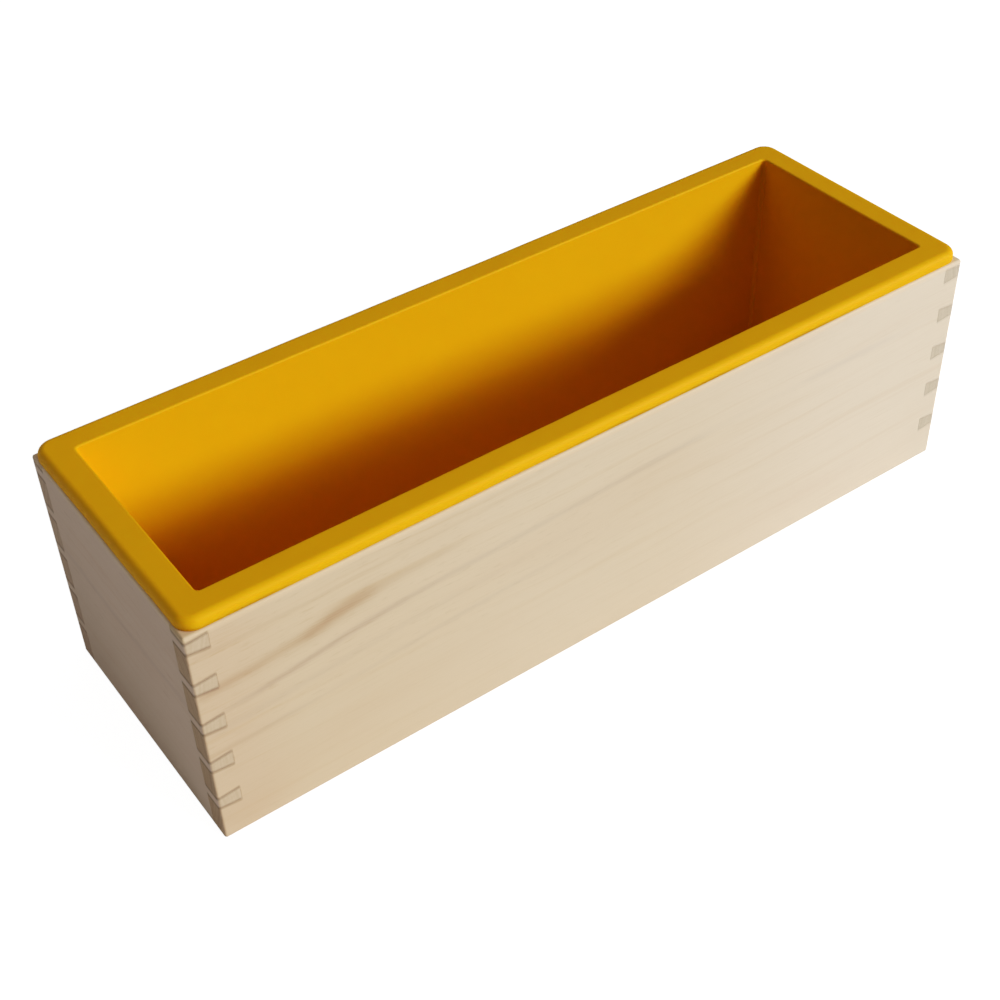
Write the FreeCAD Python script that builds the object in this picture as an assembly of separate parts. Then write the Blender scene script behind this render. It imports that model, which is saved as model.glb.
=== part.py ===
import FreeCAD, Part
import os

# Soap loaf mould: a dovetailed box of thin pine boards with a plywood base,
# and a flanged silicone liner that drops into it and hangs on the box's rim.
# Millimetres. Origin at the middle of the box's underside, on the table.
# +X runs along the box, +Y from its front board to its back board, +Z up.

# the wooden box
BOX_LENGTH = 280.0
BOX_WIDTH = 92.0
BOX_HEIGHT = 79.0
BOARD = 7.0             # thickness of the four side boards
ARRIS_RADIUS = 0.8      # the sanded outer edges

# through dovetails: pins on the end boards, tails on the front and back boards
PIN_COUNT = 5
PIN_TOP_CENTRE = 4.0    # middle of the topmost pin, below the boards' top edge
PIN_PITCH = 15.0
PIN_TIP_HEIGHT = 3.8    # at the box's outer corner
PIN_ROOT_HEIGHT = 5.2   # one board's thickness in from the corner

# plywood base, held in a groove that runs round the inside of the box
BASE_THICKNESS = 3.0
BASE_RECESS = 4.0       # from the boards' bottom edge up to the plywood
GROOVE_DEPTH = 3.0
GROOVE_END_GAP = 0.3    # the plywood stops this short of the groove's bottom

# silicone liner
LINER_CLEARANCE = 0.3   # to the boards at the rim, and to the base below
LINER_DRAFT = 0.7       # the outside narrows by this much a side, rim to bottom
LINER_CORNER = 2.0      # its upright outer corners
LINER_FOOT_RADIUS = 1.0  # its bottom outer edge
LINER_FLOOR = 3.7
CAVITY_LENGTH = 260.6   # the soap cavity at the rim
CAVITY_WIDTH = 72.6
CAVITY_DRAFT = 1.5      # each side, rim to floor
CAVITY_CORNER = 1.5
CAVITY_FLOOR_FILLET = 1.0
RIM_EDGE_RADIUS = 0.6   # the cavity's mouth

# the liner's flange, which lies on top of the boards
FLANGE_THICKNESS = 4.0
FLANGE_INSET = 0.3      # inside the boards' outer faces
FLANGE_CORNER = 5.5
FLANGE_TOP_RADIUS = 2.3
FLANGE_UNDER_RADIUS = 0.4

# derived sizes
INNER_LENGTH = BOX_LENGTH - 2 * BOARD
INNER_WIDTH = BOX_WIDTH - 2 * BOARD
BASE_TOP = BASE_RECESS + BASE_THICKNESS
LINER_BOTTOM = BASE_TOP + LINER_CLEARANCE
RIM_TOP = BOX_HEIGHT + FLANGE_THICKNESS

SAME_HEIGHT = 1e-4      # edges this close to a height count as being at it
MARGIN = 0.1            # how far past the cavity's mouth its edges are looked for


def centred_box(length, width, low, high):
    """A box centred on the Z axis, from one height to another."""
    corner = FreeCAD.Vector(-length / 2, -width / 2, low)
    return Part.makeBox(length, width, high - low, corner)


def rounded_outline(length, width, radius, height):
    """A closed rectangle with round corners, level, centred on the Z axis."""
    x_mid = length / 2 - radius
    y_mid = width / 2 - radius
    diagonal = radius * 0.5 ** 0.5
    edges = []
    # where each corner's arc starts and ends, going round from +X to +Y
    ends = []
    for sign_x, sign_y in ((1, 1), (-1, 1), (-1, -1), (1, -1)):
        centre = FreeCAD.Vector(sign_x * x_mid, sign_y * y_mid, height)
        along_x = centre + FreeCAD.Vector(sign_x * radius, 0, 0)
        along_y = centre + FreeCAD.Vector(0, sign_y * radius, 0)
        middle = centre + FreeCAD.Vector(sign_x * diagonal, sign_y * diagonal, 0)
        if sign_x == sign_y:
            first, last = along_x, along_y
        else:
            first, last = along_y, along_x
        edges.append(Part.Arc(first, middle, last).toShape())
        ends.append((first, last))
    for index in range(4):
        start = ends[index][1]
        finish = ends[(index + 1) % 4][0]
        edges.append(Part.makeLine(start, finish))
    return Part.Wire(Part.__sortEdges__(edges))


def tapered_block(bottom_outline, top_outline):
    """A solid between two level outlines, with straight sides."""
    return Part.makeLoft([bottom_outline, top_outline], True, True)


def edges_at_height(solid, height):
    """The solid's edges that lie level at one height."""
    level = []
    for edge in solid.Edges:
        box = edge.BoundBox
        if abs(box.ZMin - height) < SAME_HEIGHT and abs(box.ZMax - height) < SAME_HEIGHT:
            level.append(edge)
    return level


def eased_envelope():
    """The whole box as a block with its outer edges sanded round."""
    block = centred_box(BOX_LENGTH, BOX_WIDTH, 0, BOX_HEIGHT)
    return block.makeFillet(ARRIS_RADIUS, block.Edges)


def pin(side_x, centre_z):
    """One dovetail pin, running the width of the box at one end of it."""
    outer_x = side_x * BOX_LENGTH / 2
    inner_x = side_x * INNER_LENGTH / 2
    profile = [
        (outer_x, centre_z - PIN_TIP_HEIGHT / 2),
        (inner_x, centre_z - PIN_ROOT_HEIGHT / 2),
        (inner_x, centre_z + PIN_ROOT_HEIGHT / 2),
        (outer_x, centre_z + PIN_TIP_HEIGHT / 2),
    ]
    points = [FreeCAD.Vector(x, -BOX_WIDTH / 2, z) for x, z in profile]
    face = Part.Face(Part.makePolygon(points + points[:1]))
    return face.extrude(FreeCAD.Vector(0, BOX_WIDTH, 0))


def all_pins(side_x):
    """The pins of one end board, as one shape."""
    pins = []
    for index in range(PIN_COUNT):
        centre_z = BOX_HEIGHT - PIN_TOP_CENTRE - index * PIN_PITCH
        pins.append(pin(side_x, centre_z))
    return Part.makeCompound(pins)


def groove():
    """The space the base's edge needs in the four boards."""
    reach = 2 * GROOVE_DEPTH
    return centred_box(INNER_LENGTH + reach, INNER_WIDTH + reach, BASE_RECESS, BASE_TOP)


def long_board(side_y, envelope):
    """The front (-1) or back (+1) board, with its tails at both ends."""
    low_y = min(side_y * BOX_WIDTH / 2, side_y * INNER_WIDTH / 2)
    corner = FreeCAD.Vector(-BOX_LENGTH / 2, low_y, 0)
    board = Part.makeBox(BOX_LENGTH, BOARD, BOX_HEIGHT, corner)
    board = board.cut(all_pins(-1))
    board = board.cut(all_pins(1))
    board = board.cut(groove())
    return board.common(envelope)


def end_board(side_x, envelope):
    """The left (-1) or right (+1) board, with its pins front and back."""
    low_x = min(side_x * BOX_LENGTH / 2, side_x * INNER_LENGTH / 2)
    corner = FreeCAD.Vector(low_x, -INNER_WIDTH / 2, 0)
    board = Part.makeBox(BOARD, INNER_WIDTH, BOX_HEIGHT, corner)
    board = board.fuse(all_pins(side_x).Solids).removeSplitter()
    board = board.cut(groove())
    return board.common(envelope)


def base_panel():
    """The plywood base, with its edges in the groove."""
    reach = 2 * (GROOVE_DEPTH - GROOVE_END_GAP)
    return centred_box(INNER_LENGTH + reach, INNER_WIDTH + reach, BASE_RECESS, BASE_TOP)


def liner_body():
    """The liner's outside below the flange: a tray with slightly sloping sides."""
    top_length = INNER_LENGTH - 2 * LINER_CLEARANCE
    top_width = INNER_WIDTH - 2 * LINER_CLEARANCE
    bottom_length = top_length - 2 * LINER_DRAFT
    bottom_width = top_width - 2 * LINER_DRAFT
    bottom = rounded_outline(bottom_length, bottom_width, LINER_CORNER, LINER_BOTTOM)
    top = rounded_outline(top_length, top_width, LINER_CORNER, BOX_HEIGHT)
    body = tapered_block(bottom, top)
    return body.makeFillet(LINER_FOOT_RADIUS, edges_at_height(body, LINER_BOTTOM))


def liner_flange():
    """The flange as a plate, with its outer edges rounded."""
    length = BOX_LENGTH - 2 * FLANGE_INSET
    width = BOX_WIDTH - 2 * FLANGE_INSET
    outline = rounded_outline(length, width, FLANGE_CORNER, BOX_HEIGHT)
    plate = Part.Face(outline).extrude(FreeCAD.Vector(0, 0, FLANGE_THICKNESS))
    plate = plate.makeFillet(FLANGE_TOP_RADIUS, edges_at_height(plate, RIM_TOP))
    return plate.makeFillet(FLANGE_UNDER_RADIUS, edges_at_height(plate, BOX_HEIGHT))


def soap_cavity():
    """The space that holds the soap, up to the rim."""
    floor_z = LINER_BOTTOM + LINER_FLOOR
    floor_length = CAVITY_LENGTH - 2 * CAVITY_DRAFT
    floor_width = CAVITY_WIDTH - 2 * CAVITY_DRAFT
    floor = rounded_outline(floor_length, floor_width, CAVITY_CORNER, floor_z)
    mouth = rounded_outline(CAVITY_LENGTH, CAVITY_WIDTH, CAVITY_CORNER, RIM_TOP)
    cavity = tapered_block(floor, mouth)
    return cavity.makeFillet(CAVITY_FLOOR_FILLET, edges_at_height(cavity, floor_z))


def mouth_edges(solid):
    """The edges of the cavity's mouth: level with the rim, and inside it."""
    inside = []
    for edge in edges_at_height(solid, RIM_TOP):
        box = edge.BoundBox
        far_x = max(abs(box.XMin), abs(box.XMax))
        far_y = max(abs(box.YMin), abs(box.YMax))
        if far_x < CAVITY_LENGTH / 2 + MARGIN and far_y < CAVITY_WIDTH / 2 + MARGIN:
            inside.append(edge)
    return inside


def silicone_liner():
    """The liner: its body and flange in one moulding, hollowed by the cavity."""
    solid = liner_body().fuse(liner_flange()).removeSplitter()
    solid = solid.cut(soap_cavity())
    return solid.makeFillet(RIM_EDGE_RADIUS, mouth_edges(solid))


def main():
    envelope = eased_envelope()
    nodes = {
        "front_panel": long_board(-1, envelope),
        "back_panel": long_board(1, envelope),
        "left_end_panel": end_board(-1, envelope),
        "right_end_panel": end_board(1, envelope),
        "base_panel": base_panel(),
        "silicone_liner": silicone_liner(),
    }
    os.makedirs("parts", exist_ok=True)
    for node, shape in nodes.items():
        if len(shape.Solids) != 1:
            raise RuntimeError("%s has %d solids" % (node, len(shape.Solids)))
        shape.Solids[0].exportStep("parts/%s.step" % node)


main()
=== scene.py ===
import math
from collections import namedtuple

import bmesh
import bpy
from mathutils import Matrix, Vector, noise


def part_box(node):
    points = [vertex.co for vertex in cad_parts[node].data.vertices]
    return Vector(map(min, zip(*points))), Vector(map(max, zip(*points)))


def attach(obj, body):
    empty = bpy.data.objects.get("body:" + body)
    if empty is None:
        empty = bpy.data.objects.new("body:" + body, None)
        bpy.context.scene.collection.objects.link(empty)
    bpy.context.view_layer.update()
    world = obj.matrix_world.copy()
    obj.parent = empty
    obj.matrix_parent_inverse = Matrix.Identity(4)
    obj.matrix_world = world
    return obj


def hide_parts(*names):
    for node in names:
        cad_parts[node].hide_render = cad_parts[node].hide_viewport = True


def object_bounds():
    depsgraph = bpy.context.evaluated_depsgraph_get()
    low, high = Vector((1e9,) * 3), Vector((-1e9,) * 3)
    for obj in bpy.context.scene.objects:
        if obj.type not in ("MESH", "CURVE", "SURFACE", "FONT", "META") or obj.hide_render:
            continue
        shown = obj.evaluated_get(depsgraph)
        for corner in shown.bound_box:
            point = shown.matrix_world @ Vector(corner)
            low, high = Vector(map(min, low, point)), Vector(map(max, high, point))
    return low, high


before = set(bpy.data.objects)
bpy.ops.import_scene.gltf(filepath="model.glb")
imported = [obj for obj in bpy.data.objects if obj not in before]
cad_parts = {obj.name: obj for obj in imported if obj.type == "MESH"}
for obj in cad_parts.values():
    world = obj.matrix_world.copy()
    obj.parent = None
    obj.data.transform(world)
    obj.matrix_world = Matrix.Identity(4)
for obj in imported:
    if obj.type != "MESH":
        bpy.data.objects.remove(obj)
CAD_LOW, CAD_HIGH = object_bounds()

# Meshes are built in millimetres in the row's frame, then scaled to metres.
MM = 0.001


def corners_mm(node):
    """A CAD node's lowest and highest corners, in millimetres."""
    low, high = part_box(node)
    return low / MM, high / MM


FRONT_LOW, FRONT_HIGH = corners_mm("front_panel")
BACK_LOW, BACK_HIGH = corners_mm("back_panel")
BASE_LOW, BASE_HIGH = corners_mm("base_panel")
LINER_LOW, LINER_HIGH = corners_mm("silicone_liner")

HALF_LENGTH = FRONT_HIGH.x
HALF_WIDTH = BACK_HIGH.y
BOX_TOP = FRONT_HIGH.z
BOARD = FRONT_HIGH.y - FRONT_LOW.y

# the dovetails, as in the CAD model
PIN_COUNT = 5
PIN_TOP_CENTRE = 4.0
PIN_PITCH = 15.0
PIN_TIP = 3.8
PIN_ROOT = 5.2
JOINT_GAP = 0.03        # half of the hairline between a pin and its tail
JOINT_EASE = 0.08       # the small bevel along that hairline
ARRIS = 0.8             # the sanded outer edges of the box
ARRIS_STEPS = 5
GROOVE_DEPTH = 3.0
BASE_EASE = 0.25        # the plywood's edges
BASE_EASE_STEPS = 2


# ---------------------------------------------------------------- mesh helpers

def finish_piece(name, mesh, body, nodes, material):
    """Turns a mesh in millimetres into a piece that stands for CAD nodes."""
    mesh.transform(Matrix.Scale(MM, 4))
    mesh.materials.clear()
    mesh.materials.append(material)
    piece = bpy.data.objects.new(name, mesh)
    bpy.context.scene.collection.objects.link(piece)
    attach(piece, body)
    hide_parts(*nodes)
    return piece


def mesh_from(name, points, faces):
    """A mesh from points and faces, with its normals facing out."""
    mesh = bpy.data.meshes.new(name)
    mesh.from_pydata(points, [], faces)
    edit = bmesh.new()
    edit.from_mesh(mesh)
    bmesh.ops.recalc_face_normals(edit, faces=edit.faces)
    edit.to_mesh(mesh)
    edit.free()
    return mesh


def bevelled(mesh, width, steps):
    """The mesh with every edge bevelled."""
    edit = bmesh.new()
    edit.from_mesh(mesh)
    bmesh.ops.bevel(
        edit, geom=edit.edges[:], offset=width, offset_type="OFFSET",
        segments=steps, profile=0.5, affect="EDGES", clamp_overlap=True,
    )
    edit.to_mesh(mesh)
    edit.free()
    return mesh


def block(name, low, high):
    """A closed box between two corners, to cut with."""
    points = [
        (x, y, z)
        for x in (low[0], high[0]) for y in (low[1], high[1]) for z in (low[2], high[2])
    ]
    faces = [(0, 1, 3, 2), (4, 6, 7, 5), (0, 4, 5, 1), (2, 3, 7, 6), (0, 2, 6, 4), (1, 5, 7, 3)]
    return mesh_from(name, points, faces)


def prism(name, first, second):
    """A solid between two outlines with the same number of points."""
    count = len(first)
    faces = [tuple(range(count)), tuple(range(2 * count - 1, count - 1, -1))]
    for index in range(count):
        after = (index + 1) % count
        faces.append((index, after, count + after, count + index))
    return mesh_from(name, first + second, faces)


def combined(mesh, other, operation):
    """The result of a boolean between two closed meshes."""
    target = bpy.data.objects.new("target", mesh)
    tool = bpy.data.objects.new("tool", other)
    for item in (target, tool):
        bpy.context.scene.collection.objects.link(item)
    modifier = target.modifiers.new("cut", "BOOLEAN")
    modifier.operation = operation
    modifier.solver = "EXACT"
    modifier.object = tool
    graph = bpy.context.evaluated_depsgraph_get()
    result = bpy.data.meshes.new_from_object(target.evaluated_get(graph))
    bpy.data.objects.remove(target)
    bpy.data.objects.remove(tool)
    return result


# ---------------------------------------------------------------- the boards

def pin_centres():
    """Heights of the pins' middles, from the lowest to the highest."""
    top = BOX_TOP - PIN_TOP_CENTRE
    return [top - index * PIN_PITCH for index in reversed(range(PIN_COUNT))]


def sockets_up(outer, inner):
    """Along one end of a long board, bottom to top: the sockets for the pins."""
    steps = []
    for centre in pin_centres():
        tip = PIN_TIP / 2 + JOINT_GAP
        root = PIN_ROOT / 2 + JOINT_GAP
        steps += [(outer, centre - tip), (inner, centre - root)]
        steps += [(inner, centre + root), (outer, centre + tip)]
    return steps


def pins_up(outer, inner, half_height):
    """Along one side of an end board, bottom to top: the pins."""
    steps = []
    for centre in pin_centres():
        low = centre - half_height + JOINT_GAP
        high = centre + half_height - JOINT_GAP
        steps += [(inner, low), (outer, low), (outer, high), (inner, high)]
    return steps


def ringed(side_steps):
    """A whole outline from the steps up its right side, mirrored on its left."""
    reach = side_steps[0][0]
    right = [(reach, 0.0)] + side_steps + [(reach, BOX_TOP)]
    left = [(-across, height) for across, height in reversed(right)]
    return right + left


def long_board_mesh(name, low_y, high_y):
    """The front or back board: one outline, carried through its thickness."""
    shape = ringed(sockets_up(HALF_LENGTH, HALF_LENGTH - BOARD))
    near = [(x, low_y, z) for x, z in shape]
    far = [(x, high_y, z) for x, z in shape]
    return prism(name, near, far)


def end_board_mesh(name, outer_x, inner_x):
    """The left or right board: its pins are wider at the inner face."""
    reach = HALF_WIDTH - BOARD - JOINT_GAP
    outer_shape = ringed(pins_up(HALF_WIDTH, reach, PIN_TIP / 2))
    inner_shape = ringed(pins_up(HALF_WIDTH, reach, PIN_ROOT / 2))
    outer = [(outer_x, y, z) for y, z in outer_shape]
    inner = [(inner_x, y, z) for y, z in inner_shape]
    return prism(name, outer, inner)


def eased_box():
    """The outside of the whole box, with its outer edges sanded round."""
    low = (-HALF_LENGTH, -HALF_WIDTH, 0.0)
    high = (HALF_LENGTH, HALF_WIDTH, BOX_TOP)
    return bevelled(block("eased_box", low, high), ARRIS, ARRIS_STEPS)


def base_groove():
    """What the groove for the base takes out of the boards."""
    reach_x = HALF_LENGTH - BOARD + GROOVE_DEPTH
    reach_y = HALF_WIDTH - BOARD + GROOVE_DEPTH
    return block("groove", (-reach_x, -reach_y, BASE_LOW.z), (reach_x, reach_y, BASE_HIGH.z))


def make_board(name, mesh, node, material):
    """Eases a board's joint edges, cuts its groove and rounds its arrises."""
    mesh = bevelled(mesh, JOINT_EASE, 1)
    mesh = combined(mesh, base_groove(), "DIFFERENCE")
    mesh = combined(mesh, eased_box(), "INTERSECT")
    mesh.name = name
    return finish_piece(name, mesh, "box", [node], material)


# ---------------------------------------------------------------- the liner

# insets are measured in from the box's outer faces
FLANGE_INSET = HALF_LENGTH - LINER_HIGH.x
FLANGE_UNDER = BOX_TOP
FLANGE_TOP_RADIUS = 2.3
FLANGE_UNDER_RADIUS = 0.4
FLANGE_CORNER = 5.5
LINER_CLEARANCE = 0.3   # to the boards, at the rim
LINER_DRAFT = 0.7       # the walls lean in by this much, rim to bottom
WALL_TOP_INSET = BOARD + LINER_CLEARANCE
WALL_FOOT_INSET = WALL_TOP_INSET + LINER_DRAFT
WALL_FOOT_RADIUS = 1.0
WALL_CORNER = 2.0
MOUTH_INSET = 9.7
MOUTH_RADIUS = 0.6
CAVITY_DRAFT = 1.5
FLOOR_THICKNESS = 3.7
CAVITY_FLOOR = LINER_LOW.z + FLOOR_THICKNESS
CAVITY_CORNER = 1.5
FLOOR_FILLET = 1.0

# how finely the liner's mesh is divided: round its plan, then through its section
CORNER_STEPS = 8
LONG_STEPS = 72
SHORT_STEPS = 24
FOOT_STEPS = 5
OUTER_WALL_STEPS = 12
SHELF_STEPS = 4
UNDER_EDGE_STEPS = 3
TOP_EDGE_STEPS = 9
DECK_STEPS = 4
MOUTH_STEPS = 5
INNER_WALL_STEPS = 24
FILLET_STEPS = 5
SUPPORT = 0.12          # an extra ring this close to a rounding keeps a flat face flat
FLAT_RING = 8.0         # the last ring under the liner and on its floor is this far in

# the soft moulding strays a little from true, in slow waves with faster ones on them
SLOW_WAVE = 0.016       # noise cells per millimetre
FAST_WAVE = 0.045
SLOW_SLICE = 3.7        # the height in the noise where each kind of wave is read
FAST_SLICE = 9.1
LIFT_SLICE = Vector((0, 0, 20))     # from the sideways waves to the up and down ones
FAST_SWAY = 0.45        # the faster waves' share, sideways
FAST_LIFT = 0.4         # and up and down
EDGE_DRAW = 0.22        # the flange's edge lies this far in,
EDGE_SWAY = 0.3         # and wanders by this much
EDGE_FADE = 4.0         # both grow from nothing at the wall, over this distance outwards
TOP_SINK = 0.14         # the flange's top lies this much lower,
TOP_SWAY = 0.22         # and wanders by this much,
TOP_FROM = 0.2          # from this far above the flange's underside
CORE_INSET = 12.0       # "in" is towards a rectangle this far from the box's outer faces


def arc(centre_inset, centre_height, radius, start, end, steps):
    """Points of a rounding in the section. Angle 0 faces out, 90 faces up."""
    points = []
    for index in range(steps + 1):
        angle = math.radians(start + (end - start) * index / steps)
        inset = centre_inset - radius * math.cos(angle)
        points.append((inset, centre_height + radius * math.sin(angle)))
    return points


def between(first, last, steps):
    """Points strictly between two points of the section."""
    return [
        tuple(a + (b - a) * index / steps for a, b in zip(first, last))
        for index in range(1, steps)
    ]


def with_corner(points, corner):
    """Section points with the plan radius of their ring's corners."""
    return [(inset, height, corner) for inset, height in points]


def liner_section():
    """The liner's section, from the middle of its underside round to its floor.

    Each entry is (inset from the box's outer face, height, corner radius)."""
    foot_z = LINER_LOW.z
    foot = arc(WALL_FOOT_INSET + WALL_FOOT_RADIUS, foot_z + WALL_FOOT_RADIUS,
               WALL_FOOT_RADIUS, -90, 0, FOOT_STEPS)
    neck = (WALL_TOP_INSET, FLANGE_UNDER - SUPPORT)
    wall = between(foot[-1], neck, OUTER_WALL_STEPS) + [neck]
    under_start = (WALL_TOP_INSET, FLANGE_UNDER)
    under = arc(FLANGE_INSET + FLANGE_UNDER_RADIUS, FLANGE_UNDER + FLANGE_UNDER_RADIUS,
                FLANGE_UNDER_RADIUS, -90, 0, UNDER_EDGE_STEPS)
    shelf = [under_start, (WALL_TOP_INSET - SUPPORT, FLANGE_UNDER)]
    shelf += between(shelf[-1], under[0], SHELF_STEPS)
    shelf.append((under[0][0] + SUPPORT, FLANGE_UNDER))
    rim_z = LINER_HIGH.z
    top = arc(FLANGE_INSET + FLANGE_TOP_RADIUS, rim_z - FLANGE_TOP_RADIUS,
              FLANGE_TOP_RADIUS, 0, 90, TOP_EDGE_STEPS)
    mouth = arc(MOUTH_INSET - MOUTH_RADIUS, rim_z - MOUTH_RADIUS, MOUTH_RADIUS,
                90, 180, MOUTH_STEPS)
    deck_start = (top[-1][0] + SUPPORT, rim_z)
    deck_end = (mouth[0][0] - SUPPORT, rim_z)
    deck = [deck_start] + between(deck_start, deck_end, DECK_STEPS) + [deck_end]
    # the cavity's fillet is hollow, so its centre is inside the cavity
    fillet = arc(MOUTH_INSET + CAVITY_DRAFT + FLOOR_FILLET, CAVITY_FLOOR + FLOOR_FILLET,
                 FLOOR_FILLET, 0, -90, FILLET_STEPS)
    inner_top = (mouth[-1][0], mouth[-1][1] - SUPPORT)
    inner = [inner_top] + between(inner_top, fillet[0], INNER_WALL_STEPS)
    floor_edge = fillet[-1][0]
    floor = [(floor_edge + SUPPORT, CAVITY_FLOOR), (floor_edge + FLAT_RING, CAVITY_FLOOR)]
    foot_edge = foot[0][0]
    section = with_corner([(foot_edge + FLAT_RING, foot_z), (foot_edge + SUPPORT, foot_z)], WALL_CORNER)
    section += with_corner(foot + wall, WALL_CORNER)
    section += with_corner(shelf[:2], WALL_CORNER)
    shelf_count = len(shelf) - 2
    for index, point in enumerate(shelf[2:]):
        share = (index + 1) / shelf_count
        section.append((*point, WALL_CORNER + (FLANGE_CORNER - WALL_CORNER) * share))
    section += with_corner(under, FLANGE_CORNER)
    for point in top:
        section.append((*point, FLANGE_CORNER - (point[0] - FLANGE_INSET)))
    flat_corner = FLANGE_CORNER - FLANGE_TOP_RADIUS
    for index, point in enumerate(deck):
        share = index / (len(deck) - 1)
        section.append((*point, flat_corner + (CAVITY_CORNER - flat_corner) * share))
    section += with_corner(mouth + inner + fillet, CAVITY_CORNER)
    section += with_corner(floor, CAVITY_CORNER)
    return section


def ring(inset, height, corner):
    """One level ring of the liner, with the same number of points every time."""
    half_x = HALF_LENGTH - inset
    half_y = HALF_WIDTH - inset
    points = []
    for quarter, steps_after in enumerate((LONG_STEPS, SHORT_STEPS, LONG_STEPS, SHORT_STEPS)):
        sign_x = 1 if quarter in (0, 3) else -1
        sign_y = 1 if quarter in (0, 1) else -1
        centre = Vector((sign_x * (half_x - corner), sign_y * (half_y - corner), height))
        for index in range(CORNER_STEPS + 1):
            angle = math.radians(90 * quarter + 90 * index / CORNER_STEPS)
            points.append(centre + corner * Vector((math.cos(angle), math.sin(angle), 0)))
        last = points[-1]
        if quarter in (0, 2):
            target = Vector((-last.x, last.y, height))
        else:
            target = Vector((last.x, -last.y, height))
        for index in range(1, steps_after):
            points.append(last.lerp(target, index / steps_after))
    return points


def soften(point, inset):
    """Moves a point a little, so the soft moulding isn't ruler-straight."""
    slow = Vector((point.x * SLOW_WAVE, point.y * SLOW_WAVE, SLOW_SLICE))
    fast = Vector((point.x * FAST_WAVE, point.y * FAST_WAVE, FAST_SLICE))
    sway = noise.noise(slow) + FAST_SWAY * noise.noise(fast)
    lift = noise.noise(slow + LIFT_SLICE) + FAST_LIFT * noise.noise(fast + LIFT_SLICE)
    # the flange's outer edge wanders inwards, and its top is not quite level
    outside = max(0.0, min(1.0, (WALL_TOP_INSET - inset) / EDGE_FADE))
    draw_in = max(0.0, outside * (EDGE_DRAW + EDGE_SWAY * sway))
    core_x = HALF_LENGTH - CORE_INSET
    core_y = HALF_WIDTH - CORE_INSET
    inward = Vector((max(-core_x, min(core_x, point.x)) - point.x,
                     max(-core_y, min(core_y, point.y)) - point.y, 0))
    moved = point + inward.normalized() * draw_in
    if point.z > FLANGE_UNDER + TOP_FROM:
        moved.z = min(moved.z + TOP_SWAY * lift - TOP_SINK, LINER_HIGH.z)
    return moved


def make_liner(material):
    """The silicone liner as rings of quads, closed under and in its floor."""
    section = liner_section()
    points = []
    for inset, height, corner in section:
        points += [soften(point, inset) for point in ring(inset, height, corner)]
    size = len(points) // len(section)
    faces = [tuple(reversed(range(size)))]
    for row in range(len(section) - 1):
        for index in range(size):
            after = (index + 1) % size
            low = row * size
            faces.append((low + index, low + after, low + size + after, low + size + index))
    last = (len(section) - 1) * size
    faces.append(tuple(range(last, last + size)))
    mesh = mesh_from("silicone_liner_soft", [tuple(point) for point in points], faces)
    for polygon in mesh.polygons:
        polygon.use_smooth = True
    return finish_piece("silicone_liner_soft", mesh, "liner",
                        ["silicone_liner"], material)


# ---------------------------------------------------------------- the base

def make_base(material):
    """The plywood base, its edges slightly eased where they enter the groove."""
    mesh = bevelled(block("plywood_base", BASE_LOW, BASE_HIGH), BASE_EASE, BASE_EASE_STEPS)
    return finish_piece("plywood_base", mesh, "box", ["base_panel"], material)


# ---------------------------------------------------------------- shader helpers

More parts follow.
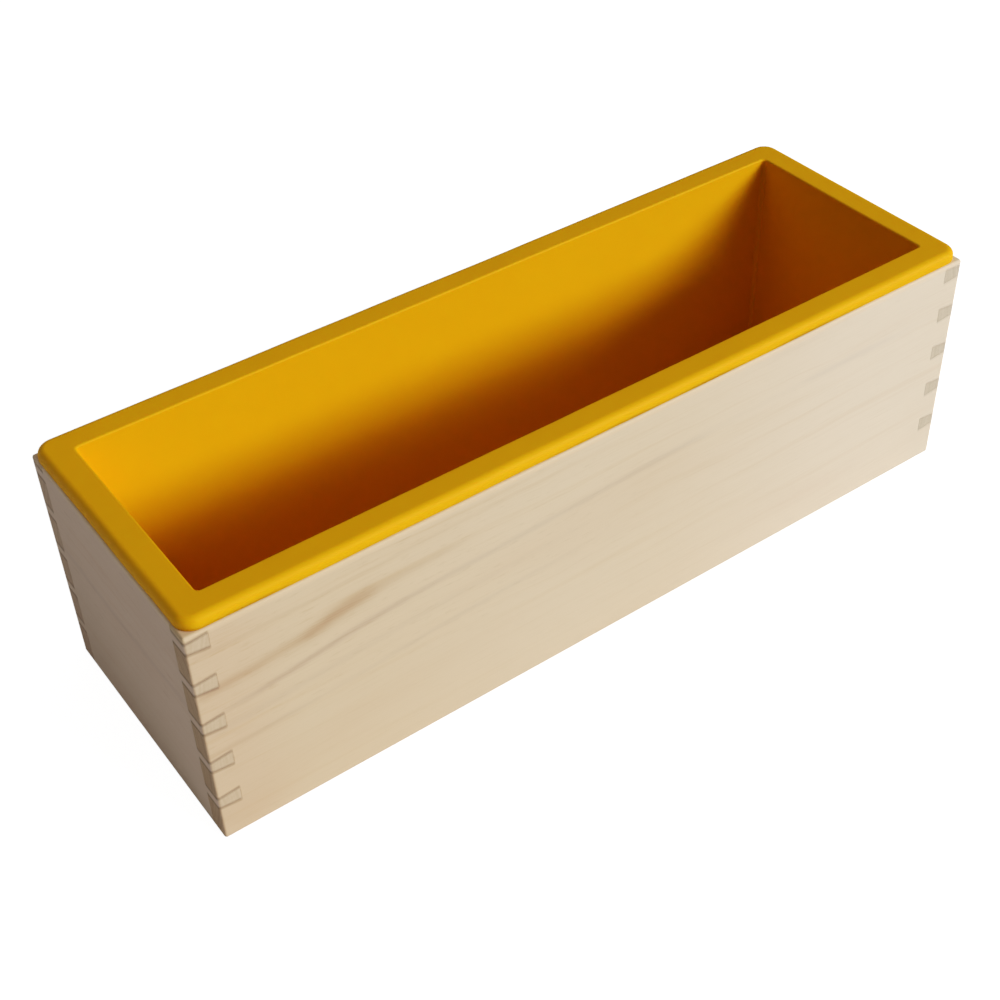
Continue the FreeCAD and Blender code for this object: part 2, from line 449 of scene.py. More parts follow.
class Graph:
    """Short names for building one material's nodes."""

    def __init__(self, name):
        self.material = bpy.data.materials.new(name)
        self.material.use_nodes = True
        self.tree = self.material.node_tree
        self.shader = self.tree.nodes["Principled BSDF"]

    def plug(self, value, socket):
        """Links a socket, or sets a constant on the socket itself."""
        if isinstance(value, bpy.types.NodeSocket):
            self.tree.links.new(value, socket)
        else:
            socket.default_value = value

    def math(self, operation, *values):
        """The result of one operation on sockets or constants."""
        node = self.tree.nodes.new("ShaderNodeMath")
        node.operation = operation
        for value, socket in zip(values, node.inputs):
            self.plug(value, socket)
        return node.outputs[0]

    def add(self, a, b):
        return self.math("ADD", a, b)

    def sub(self, a, b):
        return self.math("SUBTRACT", a, b)

    def mul(self, a, b):
        return self.math("MULTIPLY", a, b)

    def absolute(self, a):
        return self.math("ABSOLUTE", a)

    def smooth(self, value, low, high):
        """0 below low, 1 above high, with a soft step between."""
        node = self.tree.nodes.new("ShaderNodeMapRange")
        node.interpolation_type = "SMOOTHSTEP"
        self.plug(value, node.inputs["Value"])
        node.inputs["From Min"].default_value = low
        node.inputs["From Max"].default_value = high
        return node.outputs[0]

    def fade(self, value, low, high):
        """1 below low, 0 above high."""
        return self.sub(1.0, self.smooth(value, low, high))

    def hump(self, offset, width):
        """A bell curve of the offset, 1 at its middle."""
        ratio = self.math("DIVIDE", offset, width)
        return self.math("EXPONENT", self.mul(self.mul(ratio, ratio), -1.0))

    def vector(self, x, y, z):
        """Three values as one vector."""
        node = self.tree.nodes.new("ShaderNodeCombineXYZ")
        for value, socket in zip((x, y, z), node.inputs):
            self.plug(value, socket)
        return node.outputs[0]

    def noise(self, vector, scale=1.0, detail=2.0, roughness=0.5):
        """Soft noise from 0 to 1, with one cell per unit of the vector at scale 1."""
        node = self.tree.nodes.new("ShaderNodeTexNoise")
        self.plug(vector, node.inputs["Vector"])
        node.inputs["Scale"].default_value = scale
        node.inputs["Detail"].default_value = detail
        node.inputs["Roughness"].default_value = roughness
        return node.outputs[0]

    def curve(self, value, points, x_size, y_size):
        """A smooth curve through (x, y) points, read at value."""
        node = self.tree.nodes.new("ShaderNodeFloatCurve")
        line = node.mapping.curves[0]
        first, *middle, last = points
        line.points[0].location = (first[0] / x_size, first[1] / y_size)
        line.points[1].location = (last[0] / x_size, last[1] / y_size)
        for x, y in middle:
            line.points.new(x / x_size, y / y_size)
        node.mapping.update()
        self.plug(self.math("DIVIDE", value, x_size), node.inputs["Value"])
        return self.mul(node.outputs[0], y_size)

    def blend(self, amount, first, second, mode="MIX"):
        """Two colours mixed by an amount."""
        node = self.tree.nodes.new("ShaderNodeMix")
        node.data_type = "RGBA"
        node.blend_type = mode
        self.plug(amount, node.inputs[0])
        for value, socket in ((first, node.inputs[6]), (second, node.inputs[7])):
            if isinstance(value, tuple):
                value = (*value, 1.0)
            self.plug(value, socket)
        return node.outputs[2]

    def tinted(self, colour, amount, tint):
        """A colour multiplied by a tint, as far as the amount says."""
        return self.blend(amount, colour, tint, "MULTIPLY")

    def ramp(self, value, stops):
        """A colour read from (place, colour) stops."""
        node = self.tree.nodes.new("ShaderNodeValToRGB")
        node.color_ramp.interpolation = "EASE"
        first, *middle, last = stops
        for (place, colour), element in zip((first, last), node.color_ramp.elements):
            element.position = place
            element.color = (*colour, 1.0)
        for place, colour in middle:
            node.color_ramp.elements.new(place).color = (*colour, 1.0)
        self.plug(value, node.inputs[0])
        return node.outputs[0]

    def position(self):
        """The point's X, Y and Z in the row's frame, in millimetres."""
        source = self.tree.nodes.new("ShaderNodeTexCoord")
        scaled = self.tree.nodes.new("ShaderNodeVectorMath")
        scaled.operation = "SCALE"
        self.tree.links.new(source.outputs["Object"], scaled.inputs[0])
        scaled.inputs["Scale"].default_value = 1 / MM
        split = self.tree.nodes.new("ShaderNodeSeparateXYZ")
        self.tree.links.new(scaled.outputs[0], split.inputs[0])
        return split.outputs[0], split.outputs[1], split.outputs[2]

    def facing(self):
        """How far the surface faces along X and along Y, either way, from 0 to 1."""
        source = self.tree.nodes.new("ShaderNodeTexCoord")
        split = self.tree.nodes.new("ShaderNodeSeparateXYZ")
        self.tree.links.new(source.outputs["Normal"], split.inputs[0])
        return self.absolute(split.outputs[0]), self.absolute(split.outputs[1])

    def bump(self, height, distance, strength, under=None):
        """A normal for fine relief, on top of another normal if one is given."""
        node = self.tree.nodes.new("ShaderNodeBump")
        node.inputs["Distance"].default_value = distance
        node.inputs["Strength"].default_value = strength
        self.plug(height, node.inputs["Height"])
        if under is not None:
            self.plug(under, node.inputs["Normal"])
        return node.outputs[0]

    def finish(self, colour, roughness, specular, normal):
        """Connects the material's shader and hands the material over."""
        self.shader.inputs["Specular IOR Level"].default_value = specular
        self.plug(colour, self.shader.inputs["Base Color"])
        self.plug(roughness, self.shader.inputs["Roughness"])
        self.plug(normal, self.shader.inputs["Normal"])
        return self.material


# ---------------------------------------------------------------- pine

LONG_FACE = 0.6         # a face belongs to a long board if it faces Y by more than this
CHEEK_GLUE = (0.1, 1.05)        # the glue fades over these distances from a pin's cheek,
ROOT_GLUE = (0.1, 0.4)          # from a joint's root line,
JOINT_REACH = (BOARD - 0.4, BOARD + 0.3)    # and from the box's corner
ROOT_SIDE = (-0.1, 0.2)         # how sharply the root line stops at the cheeks
ROOT_PATCHES = (0.48, 0.66)     # it shows where noise is above these
ROOT_PATCH_SCALE = 0.21
ROOT_STRENGTH = 0.6
RIGHT_GLUE = 0.25       # the glue at the right end, as a share of that at the left
GLUE_CHANGE = 60.0      # the change lies within this distance of the box's middle
LAST_GLUE = 4.0         # the lowest glue, below the lowest pin's middle
LAST_GLUE_FADE = 0.5


def joint_line(g, x, y, z, face_y):
    """Dark glue along the joints on the box's outer faces, from 0 to 1."""
    from_end = g.sub(HALF_LENGTH, g.absolute(x))
    from_side = g.sub(HALF_WIDTH, g.absolute(y))
    on_long = g.math("GREATER_THAN", face_y, LONG_FACE)
    reach = g.add(g.mul(from_end, on_long), g.mul(from_side, g.sub(1.0, on_long)))
    flare = g.mul(g.mul(reach, (PIN_ROOT - PIN_TIP) / 2 / BOARD), on_long)
    half = g.add(flare, PIN_TIP / 2)
    depth = g.sub(BOX_TOP, z)
    turn = g.math("WRAP", g.sub(depth, PIN_TOP_CENTRE), PIN_PITCH / 2, -PIN_PITCH / 2)
    offset = g.sub(g.absolute(turn), half)
    cheek = g.mul(g.fade(g.absolute(offset), *CHEEK_GLUE), g.fade(reach, *JOINT_REACH))
    # the joint's root line runs behind the pins on the long faces,
    # and behind the tails on the end faces; glue shows along only parts of it
    side = g.sub(g.mul(on_long, 2.0), 1.0)
    beside = g.fade(g.mul(offset, side), *ROOT_SIDE)
    root = g.mul(g.fade(g.absolute(g.sub(reach, BOARD)), *ROOT_GLUE), beside)
    patches = g.noise(g.vector(x, y, g.mul(depth, ROOT_PATCH_SCALE)))
    patchy = g.mul(g.smooth(patches, *ROOT_PATCHES), ROOT_STRENGTH)
    lines = g.math("MAXIMUM", cheek, g.mul(root, patchy))
    # more glue was squeezed out at the left end than at the right
    extra = g.mul(g.fade(x, -GLUE_CHANGE, GLUE_CHANGE), 1.0 - RIGHT_GLUE)
    lowest = PIN_TOP_CENTRE + (PIN_COUNT - 1) * PIN_PITCH + LAST_GLUE
    above_lowest = g.fade(depth, lowest, lowest + LAST_GLUE_FADE)
    return g.mul(g.mul(lines, g.add(RIGHT_GLUE, extra)), above_lowest)


STREAK_LENGTH = 280.0   # the spans of a streak's curves: along the board,
STREAK_DEPTH = 80.0     # down from its top edge,
STREAK_WIDTH = 10.0     # and for half the streak's width


def streak(g, along, depth, path, strength, width):
    """A band of darker grain that follows a path along the board."""
    line = g.curve(along, path, STREAK_LENGTH, STREAK_DEPTH)
    amount = g.curve(along, strength, STREAK_LENGTH, 1.0)
    spread = g.curve(along, width, STREAK_LENGTH, STREAK_WIDTH)
    return g.mul(g.hump(g.sub(depth, line), spread), amount)


# A figure is a pattern of noise in the wood. It has along and across cells per millimetre
# along the board and across it, and shows its tint, up to amount, from low to high noise.
Figure = namedtuple("Figure", "along across low high amount tint")
BROAD = Figure(0.011, 0.05, 0.45, 0.75, 0.35, (0.94, 0.88, 0.86))
RINGS = Figure(0.006, 0.30, 0.52, 0.78, 0.40, (0.90, 0.81, 0.72))
FIBRES = Figure(0.05, 2.2, 0.50, 0.80, 0.28, (0.86, 0.78, 0.68))
DASHES = Figure(0.16, 0.85, 0.54, 0.74, 0.12, (0.88, 0.84, 0.81))
BROAD_SEED = 5.0        # added to a board's own seed, so that its patterns differ
DASH_SEED = 9.0
RING_TURN = 0.2         # how fast the rings change through the board
LIVELY = 1.3            # the rings' strength at the board's top edge,
CALMER = 0.7            # and how much weaker they get
CALMER_DEPTH = (12.0, 56.0)     # between these depths
PALE_FIBRES = (0.25, 0.48)      # the noise that shows as paler fibres
PALE_FIBRE_AMOUNT = 0.25
PALE_FIBRE_TINT = (1.05, 1.05, 1.06)
OPEN_GRAIN = 0.45       # how much more the dashes show where the grain is open:
OPEN_ALONG = (70.0, 190.0)      # at the start of the board,
OPEN_DEPTH = (34.0, 54.0)       # in its upper half
WANDER_ALONG = 0.012    # the grain's slow wandering, in cells per millimetre
WANDER_ACROSS = 0.03
WANDER_REACH = 7.0      # and how far it goes, in millimetres
RAGGED_ALONG = 0.10     # the same for a streak's ragged edge
RAGGED_ACROSS = 0.5
RAGGED_REACH = 1.5
RAGGED_SEED = 3.0
STREAK_BASE = 0.75      # a streak's strength where there is no fibre noise,
STREAK_FIBRES = 0.5     # and how much the noise adds
PITH_DEPTH = 46.0       # the tree's middle, below the boards' top edge
PITH_DISTANCE = 30.0    # and beyond the board's face
END_RING_SCALE = 0.85
END_RING_SHARE = 0.75   # rings in the end grain; the rest is pores
PORE_SCALE = 1.6
END_CONTRAST = (0.40, 0.60)
END_FACING = (0.55, 0.85)       # from side grain to end grain, by how far the face turns
# a painted highlight along the boards' top edge: its tint, the depths it fades over, and its strength
PAINTED_EDGE_LIGHT_TINT = (0.84, 0.66, 0.42)
PAINTED_EDGE_LIGHT_DEPTHS = (0.9, 2.2)
PAINTED_EDGE_LIGHT_AMOUNT = 0.35
GLUE_BROWN = (0.20, 0.13, 0.09)
GLUE_AMOUNT = 0.46
FINE_ALONG = 0.25       # the finest relief, in cells per millimetre
FINE_ACROSS = 6.0
FINE_SHARE = 0.3
PINE_RELIEF = 0.06 * MM
PINE_ROUGHNESS = 0.56   # the roughness without the fibres,
PINE_ROUGHER = 0.14     # and how much they add
PINE_SPECULAR = 0.28


def figured(g, colour, along, across, depth, through, fibre, seed):
    """A planed face's colour with broad patches, rings, fibres and short dashes."""
    broad_at = g.vector(g.mul(along, BROAD.along), g.mul(across, BROAD.across), seed + BROAD_SEED)
    broad = g.smooth(g.noise(broad_at), BROAD.low, BROAD.high)
    colour = g.tinted(colour, g.mul(broad, BROAD.amount), BROAD.tint)
    ring_slice = g.add(g.mul(through, RING_TURN), seed)
    ring_at = g.vector(g.mul(along, RINGS.along), g.mul(across, RINGS.across), ring_slice)
    rings = g.smooth(g.noise(ring_at, detail=3.0, roughness=0.6), RINGS.low, RINGS.high)
    # the figure is calmer towards the board's bottom edge
    lively = g.sub(LIVELY, g.mul(g.smooth(depth, *CALMER_DEPTH), CALMER))
    colour = g.tinted(colour, g.mul(g.mul(rings, RINGS.amount), lively), RINGS.tint)
    dark_fibres = g.smooth(fibre, FIBRES.low, FIBRES.high)
    colour = g.tinted(colour, g.mul(dark_fibres, FIBRES.amount), FIBRES.tint)
    pale_fibres = g.fade(fibre, *PALE_FIBRES)
    colour = g.tinted(colour, g.mul(pale_fibres, PALE_FIBRE_AMOUNT), PALE_FIBRE_TINT)
    dash_at = g.vector(g.mul(along, DASHES.along), g.mul(across, DASHES.across), seed + DASH_SEED)
    dashes = g.smooth(g.noise(dash_at, detail=3.0, roughness=0.6), DASHES.low, DASHES.high)
    open_grain = g.mul(g.fade(along, *OPEN_ALONG), g.fade(depth, *OPEN_DEPTH))
    dash_amount = g.add(DASHES.amount, g.mul(open_grain, OPEN_GRAIN))
    return g.tinted(colour, g.mul(dashes, dash_amount), DASHES.tint)


def streaked(g, colour, along, depth, fibre, seed, streaks):
    """The colour with the streaks that a board happens to have."""
    ragged_at = g.vector(g.mul(along, RAGGED_ALONG), g.mul(depth, RAGGED_ACROSS),
                         seed + RAGGED_SEED)
    ragged = g.sub(g.noise(ragged_at, detail=4.0, roughness=0.55), 0.5)
    ragged_depth = g.add(depth, g.mul(ragged, RAGGED_REACH))
    for tint, path, strength, width in streaks:
        band = streak(g, along, ragged_depth, path, strength, width)
        broken = g.mul(band, g.add(STREAK_BASE, g.mul(fibre, STREAK_FIBRES)))
        colour = g.tinted(colour, broken, tint)
    return colour


def end_grain(g, x, y, z, depth, through, seed, end_tone):
    """End grain's colour, with the year rings cut across as arcs round a far-off pith."""
    down = g.sub(depth, PITH_DEPTH)
    out = g.add(g.absolute(through), PITH_DISTANCE)
    radius = g.math("SQRT", g.add(g.mul(down, down), g.mul(out, out)))
    rings = g.noise(g.vector(g.mul(radius, END_RING_SCALE), seed, 0.0))
    pore_at = g.vector(g.mul(x, PORE_SCALE), g.mul(y, PORE_SCALE), g.mul(z, PORE_SCALE))
    pores = g.noise(pore_at, detail=3.0)
    pattern = g.add(g.mul(rings, END_RING_SHARE), g.mul(pores, 1.0 - END_RING_SHARE))
    return g.blend(g.smooth(pattern, *END_CONTRAST), end_tone[0], end_tone[1])


def pine(name, axis, seed, streaks, tones, end_tone, end_strength):
    """Planed pine with its grain along one axis of the box.

    tones are the board's colours along its length, and end_tone the two colours
    that its end grain wanders between."""
    g = Graph(name)
    x, y, z = g.position()
    face_x, face_y = g.facing()
    depth = g.sub(BOX_TOP, z)
    if axis == "x":
        along, through, end_facing = g.add(x, HALF_LENGTH), y, face_x
    else:
        along, through, end_facing = g.add(y, HALF_WIDTH), x, face_y
    # the grain wanders a little, more slowly along the board than across it
    wander_at = g.vector(g.mul(along, WANDER_ALONG), g.mul(depth, WANDER_ACROSS), seed)
    wander = g.sub(g.noise(wander_at, detail=3.0), 0.5)
    across = g.add(depth, g.mul(wander, WANDER_REACH))
    fibre_at = g.vector(g.mul(along, FIBRES.along), g.mul(across, FIBRES.across),
                        g.mul(through, FIBRES.across))
    fibre = g.noise(fibre_at, detail=4.0, roughness=0.6)

    # for the front board the tones along its length hold painted light, lighter towards its right end
    colour = g.ramp(g.math("DIVIDE", along, 2 * HALF_LENGTH), tones)
    colour = figured(g, colour, along, across, depth, through, fibre, seed)
    colour = streaked(g, colour, along, depth, fibre, seed, streaks)
    end_colour = end_grain(g, x, y, z, depth, through, seed, end_tone)
    end_amount = g.mul(g.smooth(end_facing, *END_FACING), end_strength)
    colour = g.blend(end_amount, colour, end_colour)
    # painted highlight: the top edge is painted lighter and yellower, for the yellow light that the
    # silicone flange throws back onto it
    painted_edge_light = g.fade(depth, *PAINTED_EDGE_LIGHT_DEPTHS)
    colour = g.blend(g.mul(painted_edge_light, PAINTED_EDGE_LIGHT_AMOUNT), colour, PAINTED_EDGE_LIGHT_TINT)
    glue = joint_line(g, x, y, z, face_y)
    colour = g.blend(g.mul(glue, GLUE_AMOUNT), colour, GLUE_BROWN)

    fine_at = g.vector(g.mul(along, FINE_ALONG), g.mul(across, FINE_ACROSS),
                       g.mul(through, FINE_ACROSS))
    relief = g.add(g.mul(fibre, 1.0 - FINE_SHARE), g.mul(g.noise(fine_at), FINE_SHARE))
    roughness = g.add(PINE_ROUGHNESS, g.mul(fibre, PINE_ROUGHER))
    return g.finish(colour, roughness, PINE_SPECULAR, g.bump(relief, PINE_RELIEF, 0.5))


# ---------------------------------------------------------------- plywood

PLY_WANDER_ALONG = 0.008        # the grain's wandering, as for the pine
PLY_WANDER_ACROSS = 0.02
PLY_WANDER_REACH = 22.0
PLY_WANDER_SEED = 1.3
PLY_BANDS = Figure(0.007, 0.11, 0.35, 0.70, 1.0, (0.74, 0.60, 0.43))
PLY_BAND_SEED = 4.0
PLY_FIBRES = Figure(0.08, 2.0, 0.50, 0.80, 0.35, (0.80, 0.68, 0.55))
PLY_GROUND = (0.62, 0.47, 0.30)
PLY_RELIEF = 0.08 * MM
PLY_ROUGHNESS = 0.60
PLY_ROUGHER = 0.12
PLY_SPECULAR = 0.25


def plywood():
    """The rotary-cut face of thin plywood, grain along the box."""
    g = Graph("plywood")
    x, y, z = g.position()
    wander_at = g.vector(g.mul(x, PLY_WANDER_ALONG), g.mul(y, PLY_WANDER_ACROSS), PLY_WANDER_SEED)
    across = g.add(y, g.mul(g.noise(wander_at, detail=3.0), PLY_WANDER_REACH))
    band_at = g.vector(g.mul(x, PLY_BANDS.along), g.mul(across, PLY_BANDS.across), PLY_BAND_SEED)
    bands = g.smooth(g.noise(band_at, detail=3.0), PLY_BANDS.low, PLY_BANDS.high)
    colour = g.blend(bands, PLY_GROUND, PLY_BANDS.tint)
    fibre_at = g.vector(g.mul(x, PLY_FIBRES.along), g.mul(across, PLY_FIBRES.across), z)
    fibre = g.noise(fibre_at, detail=4.0, roughness=0.65)
    dark_fibres = g.smooth(fibre, PLY_FIBRES.low, PLY_FIBRES.high)
    colour = g.tinted(colour, g.mul(dark_fibres, PLY_FIBRES.amount), PLY_FIBRES.tint)
    roughness = g.add(PLY_ROUGHNESS, g.mul(fibre, PLY_ROUGHER))
    return g.finish(colour, roughness, PLY_SPECULAR, g.bump(fibre, PLY_RELIEF, 0.6))


# ---------------------------------------------------------------- silicone

SILICONE_DEEP = (0.83, 0.42, 0.003)
SILICONE_LIGHT = (0.87, 0.455, 0.004)
CLOUD_SCALE = 0.02      # cells per millimetre, for the colour's slow change,
GRAIN_SCALE = 2.4       # the skin's fine grain,
SWELL_SCALE = 0.07      # and its gentle unevenness
GRAIN_RELIEF = 0.03 * MM
SWELL_RELIEF = 0.6 * MM
RELIEF_STRENGTH = 0.35
SILICONE_ROUGHNESS = 0.50
SILICONE_ROUGHER = 0.12
SILICONE_SPECULAR = 0.15
GLOW_SHARE = 0.12       # the part of the light that passes into the silicone,
GLOW_REACH = 3 * MM     # how far it goes,
GLOW_COLOURS = (1.0, 0.35, 0.05)        # and the share of that for red, green and blue


def silicone():
    """Soft warm-yellow silicone, satin, with light passing a little way in."""
    g = Graph("silicone")
    x, y, z = g.position()
    cloud_at = g.vector(g.mul(x, CLOUD_SCALE), g.mul(y, CLOUD_SCALE), g.mul(z, CLOUD_SCALE))
    colour = g.blend(g.noise(cloud_at, detail=3.0), SILICONE_DEEP, SILICONE_LIGHT)
    place = g.vector(x, y, z)
    grain = g.noise(place, scale=GRAIN_SCALE, detail=3.0, roughness=0.6)
    swell = g.noise(place, scale=SWELL_SCALE)
    under = g.bump(swell, SWELL_RELIEF, RELIEF_STRENGTH)
    normal = g.bump(grain, GRAIN_RELIEF, RELIEF_STRENGTH, under)
    g.shader.inputs["Subsurface Weight"].default_value = GLOW_SHARE
    g.shader.inputs["Subsurface Radius"].default_value = GLOW_COLOURS
    g.shader.inputs["Subsurface Scale"].default_value = GLOW_REACH
    roughness = g.add(SILICONE_ROUGHNESS, g.mul(grain, SILICONE_ROUGHER))
    return g.finish(colour, roughness, SILICONE_SPECULAR, normal)


# ---------------------------------------------------------------- build

# Each board's streaks, in millimetres along the board from its left or front end. A streak
# has the tint it gives the wood, then (place along the board, value) points for curves of
# its depth below the board's top edge, its strength, and half its width.
BROWN_STREAK = (0.735, 0.64, 0.61)
GREY_STREAK = (0.80, 0.76, 0.80)
FRONT_STREAKS = [
    (
        BROWN_STREAK,
        [(0, 22.3), (10, 21.5), (24, 20.2), (36, 18.7), (44, 16.5), (58, 14.6), (87, 13.6), (280, 12.0)],
        [(0, 0.0), (8, 0.60), (24, 0.54), (36, 0.92), (44, 0.95), (58, 0.45), (76, 0.30), (98, 0.0),
         (280, 0.0)],
        [(0, 1.6), (20, 2.0), (36, 2.6), (48, 2.8), (62, 1.8), (90, 1.2), (280, 1.2)],
    ),
    (
        GREY_STREAK,
        [(0, 31.5), (14, 30.3), (33, 27.8), (50, 25.3), (70, 23.7), (107, 22.0), (168, 19.2), (280, 18.2)],
        [(0, 0.0), (14, 0.47), (30, 0.92), (46, 0.90), (80, 0.48), (115, 0.38), (160, 0.46), (178, 0.10),
         (206, 0.06), (225, 0.30), (262, 0.05), (280, 0.0)],
        [(0, 1.1), (40, 1.2), (100, 1.2), (280, 1.4)],
    ),
    (
        GREY_STREAK,
        [(0, 37.0), (30, 35.5), (60, 33.0), (110, 31.0), (280, 27.0)],
        [(0, 0.10), (15, 0.25), (60, 0.20), (110, 0.10), (150, 0.0), (280, 0.0)],
        [(0, 1.6), (100, 1.2), (280, 1.2)],
    ),
    (
        GREY_STREAK,
        [(0, 45.0), (30, 44.0), (70, 41.0), (110, 39.0), (280, 36.0)],
        [(0, 0.10), (20, 0.40), (40, 0.15), (75, 0.30), (110, 0.20), (140, 0.0), (280, 0.0)],
        [(0, 1.0), (100, 1.0), (280, 1.0)],
    ),
    (
        BROWN_STREAK,
        [(0, 8.5), (30, 8.0), (80, 6.4), (280, 4.0)],
        [(0, 0.10), (20, 0.22), (60, 0.18), (110, 0.05), (280, 0.0)],
        [(0, 0.8), (100, 0.7), (280, 0.7)],
    ),
]
BACK_STREAKS = [
    (
        BROWN_STREAK,
        [(0, 52.0), (60, 50.0), (130, 46.5), (200, 45.0), (280, 44.0)],
        [(0, 0.10), (60, 0.30), (150, 0.45), (220, 0.30), (280, 0.15)],
        [(0, 1.2), (140, 1.9), (280, 1.4)],
    ),
    (
        GREY_STREAK,
        [(0, 60.0), (80, 59.0), (170, 56.0), (280, 54.5)],
        [(0, 0.25), (120, 0.20), (200, 0.30), (280, 0.20)],
        [(0, 1.0), (280, 1.3)],
    ),
]
END_STREAKS = [
    (
        GREY_STREAK,
        [(0, 30.0), (40, 31.5), (92, 30.5), (280, 30.5)],
        [(0, 0.15), (46, 0.30), (92, 0.25), (280, 0.25)],
        [(0, 1.4), (280, 1.4)],
    ),
]
ROSY_PINE = (0.675, 0.503, 0.340)
PINK_PINE = (0.694, 0.542, 0.366)
HONEY_PINE = (0.722, 0.590, 0.414)
PALE_PINE_AND_PAINTED_LIGHT = (0.782, 0.676, 0.518)
WARM_PINE = (0.740, 0.585, 0.462)
PALE_END = ((0.57, 0.43, 0.29), (0.62, 0.475, 0.325))
GREY_END = ((0.53, 0.45, 0.325), (0.62, 0.53, 0.40))
BROWN_END = ((0.42, 0.28, 0.19), (0.56, 0.41, 0.29))

# the boards' colours, as (share of the box's length, colour)
# the front board goes lighter towards its right end: partly the wood's own change of tone, partly painted
# light, brighter on the softbox's side
FRONT_TONES_AND_PAINTED_LIGHT = [(0.02, ROSY_PINE), (0.12, PINK_PINE), (0.50, HONEY_PINE), (0.93, PALE_PINE_AND_PAINTED_LIGHT)]
BACK_TONES = [(0.05, WARM_PINE), (0.55, HONEY_PINE), (0.95, PINK_PINE)]
END_TONES = [(0.0, WARM_PINE), (0.30, WARM_PINE)]
front_pine = pine("pine_front", "x", 2.0, FRONT_STREAKS, FRONT_TONES_AND_PAINTED_LIGHT, BROWN_END, 0.6)
back_pine = pine("pine_back", "x", 31.0, BACK_STREAKS, BACK_TONES, BROWN_END, 0.6)
left_pine = pine("pine_left", "y", 57.0, END_STREAKS, END_TONES, PALE_END, 0.9)
right_pine = pine("pine_right", "y", 83.0, END_STREAKS, END_TONES, GREY_END, 0.8)
make_board("front_board", long_board_mesh("front_board", FRONT_LOW.y, FRONT_HIGH.y),
           "front_panel", front_pine)
make_board("back_board", long_board_mesh("back_board", BACK_LOW.y, BACK_HIGH.y),
           "back_panel", back_pine)
make_board("left_end_board", end_board_mesh("left_end_board", -HALF_LENGTH, BOARD - HALF_LENGTH),
           "left_end_panel", left_pine)
make_board("right_end_board", end_board_mesh("right_end_board", HALF_LENGTH, HALF_LENGTH - BOARD),
           "right_end_panel", right_pine)
make_base(plywood())
make_liner(silicone())


# ---------------------------------------------------------------- the stage

FLOOR_SIZE = 6.0
FLOOR_DROP = 0.2 * MM   # the floor lies this far below the box, so the two don't share a plane
FLOOR_LIT = 0.75        # how much light the floor gives back to the object
FLOOR_SHADED = 0.25     # in the picture, the part of its white that takes shadows
FLOOR_GLOW = 0.94       # and the part that doesn't


def show_or_light(tree, output, lighting, seen):
    """One shader lights the object, and another is what the picture shows."""
    choose = tree.nodes.new("ShaderNodeMixShader")
    path = tree.nodes.new("ShaderNodeLightPath")
    tree.links.new(path.outputs["Is Camera Ray"], choose.inputs[0])
    tree.links.new(lighting.outputs[0], choose.inputs[1])
    tree.links.new(seen.outputs[0], choose.inputs[2])
    tree.links.new(choose.outputs[0], output.inputs["Surface"])


def floor_material():
    """A floor that looks white, and gives the object softer light than that."""
    material = bpy.data.materials.new("floor_white")
    material.use_nodes = True
    tree = material.node_tree
    tree.nodes.clear()
    output = tree.nodes.new("ShaderNodeOutputMaterial")
    lighting = tree.nodes.new("ShaderNodeBsdfDiffuse")
    lighting.inputs["Color"].default_value = (FLOOR_LIT, FLOOR_LIT, FLOOR_LIT, 1.0)
    shaded = tree.nodes.new("ShaderNodeBsdfDiffuse")
    shaded.inputs["Color"].default_value = (FLOOR_SHADED, FLOOR_SHADED, FLOOR_SHADED, 1.0)
    glow = tree.nodes.new("ShaderNodeEmission")
    glow.inputs["Strength"].default_value = FLOOR_GLOW
    seen = tree.nodes.new("ShaderNodeAddShader")
    tree.links.new(shaded.outputs[0], seen.inputs[0])
    tree.links.new(glow.outputs[0], seen.inputs[1])
    show_or_light(tree, output, lighting, seen)
    return material


def make_floor():
    """A plain pale floor, just below the box."""
    reach = FLOOR_SIZE / 2
    mesh = bpy.data.meshes.new("floor")
    corners = [(-reach, -reach, 0), (reach, -reach, 0), (reach, reach, 0), (-reach, reach, 0)]
    mesh.from_pydata(corners, [], [(0, 1, 2, 3)])
    mesh.materials.append(floor_material())
    floor = bpy.data.objects.new("floor", mesh)
    bpy.context.scene.collection.objects.link(floor)
    floor.location.z = -FLOOR_DROP


WORLD_HORIZON = 0.02    # the soft light's strength from level with the object,
WORLD_ZENITH = 0.34     # and from overhead,
ZENITH_FROM = 0.9       # which is where a direction's height is above this
BACKDROP = 1.02         # the strength of the plain white behind the floor
WHITE = (1.0, 1.0, 1.0, 1.0)


def make_world():
    """Soft light all round, stronger from above than from the sides."""
    world = bpy.data.worlds.new("studio")
    bpy.context.scene.world = world
    world.use_nodes = True
    tree = world.node_tree
    tree.nodes.clear()
    output = tree.nodes.new("ShaderNodeOutputWorld")
    direction = tree.nodes.new("ShaderNodeTexCoord")
    split = tree.nodes.new("ShaderNodeSeparateXYZ")
    tree.links.new(direction.outputs["Generated"], split.inputs[0])
    rise = tree.nodes.new("ShaderNodeMapRange")
    rise.inputs["From Min"].default_value = 0.0
    rise.inputs["From Max"].default_value = ZENITH_FROM
    rise.inputs["To Min"].default_value = WORLD_HORIZON
    rise.inputs["To Max"].default_value = WORLD_ZENITH
    tree.links.new(split.outputs["Z"], rise.inputs["Value"])
    soft = tree.nodes.new("ShaderNodeBackground")
    soft.inputs["Color"].default_value = WHITE
    tree.links.new(rise.outputs[0], soft.inputs["Strength"])
    backdrop = tree.nodes.new("ShaderNodeBackground")
    backdrop.inputs["Color"].default_value = WHITE
    backdrop.inputs["Strength"].default_value = BACKDROP
    show_or_light(tree, output, soft, backdrop)


# a softbox to the right of the camera
KEY_DIRECTION = (1.30, -1.97, 0.96)     # from the object towards the softbox
KEY_DISTANCE = 6.0
KEY_SIZE = (4.0, 1.58)
KEY_POWER = 307.0
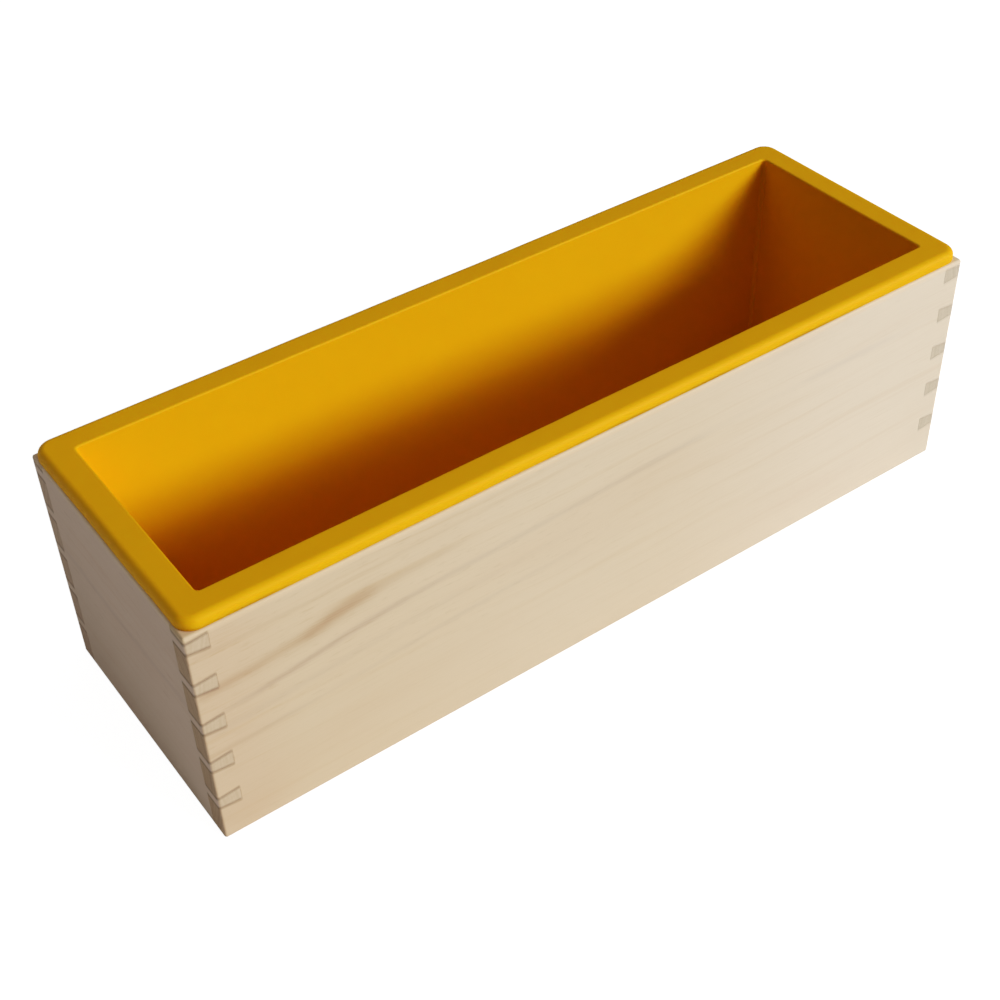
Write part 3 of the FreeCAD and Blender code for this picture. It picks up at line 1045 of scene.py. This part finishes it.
# low cards beside the shaded faces: they stay below the rim, so they light the boards
# and not the liner's inside
CARD_HEIGHT = 0.04
LEFT_CARD_PLACE = (-0.45, 0.09)
LEFT_CARD_AIM = (-0.14, 0.02)
LEFT_CARD_SIZE = (0.5, 0.05)
LEFT_CARD_POWER = 0.062
BACK_CARD_PLACE = (0.0, 0.40)
BACK_CARD_AIM = (0.0, 0.0)
BACK_CARD_SIZE = (0.7, 0.05)
BACK_CARD_POWER = 0.30


def make_light(name, place, aim, size, power):
    """A soft rectangular light, aimed at a point and hidden from the camera."""
    light = bpy.data.lights.new(name, "AREA")
    light.shape = "RECTANGLE"
    light.size, light.size_y = size
    light.energy = power
    lamp = bpy.data.objects.new(name, light)
    bpy.context.scene.collection.objects.link(lamp)
    lamp.location = place
    lamp.rotation_mode = "QUATERNION"
    lamp.rotation_quaternion = (aim - place).to_track_quat("-Z", "Y")
    lamp.visible_camera = False


def make_card(name, place, aim, size, power):
    """A light at the cards' height, with its place and aim given in plan."""
    place = Vector((*place, CARD_HEIGHT))
    aim = Vector((*aim, CARD_HEIGHT))
    make_light(name, place, aim, size, power)


def make_lights():
    """The softbox and the two cards."""
    middle = (CAD_LOW + CAD_HIGH) / 2
    key_place = middle + Vector(KEY_DIRECTION).normalized() * KEY_DISTANCE
    make_light("key", key_place, middle, KEY_SIZE, KEY_POWER)
    make_card("left_card", LEFT_CARD_PLACE, LEFT_CARD_AIM, LEFT_CARD_SIZE, LEFT_CARD_POWER)
    make_card("back_card", BACK_CARD_PLACE, BACK_CARD_AIM, BACK_CARD_SIZE, BACK_CARD_POWER)


CAMERA_PLACE = (-0.23438, -0.32475, 0.36484)
CAMERA_ANGLES = (49.240, 1.619, -35.845)        # in degrees
CAMERA_LENS = 58.455
CAMERA_SENSOR = 36.0
CAMERA_NEAREST = 0.01
CAMERA_FARTHEST = 20.0


def make_camera():
    """The camera, above the box's front left corner."""
    data = bpy.data.cameras.new("camera")
    data.lens = CAMERA_LENS
    data.sensor_width = CAMERA_SENSOR
    data.clip_start = CAMERA_NEAREST
    data.clip_end = CAMERA_FARTHEST
    camera = bpy.data.objects.new("camera", data)
    bpy.context.scene.collection.objects.link(camera)
    camera.location = CAMERA_PLACE
    camera.rotation_euler = [math.radians(angle) for angle in CAMERA_ANGLES]
    bpy.context.scene.camera = camera


# the tone curve's points between black and white, as (light, shown)
TONE_POINTS = ((0.055, 0.034), (0.18, 0.177), (0.40, 0.45), (0.70, 0.722))


def set_tone():
    """A camera's usual tone curve: darker shadows, slightly brighter middle tones."""
    view = bpy.context.scene.view_settings
    view.view_transform = "Standard"
    view.use_curve_mapping = True
    combined_curve = view.curve_mapping.curves[3]
    for light, shown in TONE_POINTS:
        combined_curve.points.new(light, shown)
    view.curve_mapping.update()


make_floor()
make_world()
make_lights()
make_camera()
set_tone()
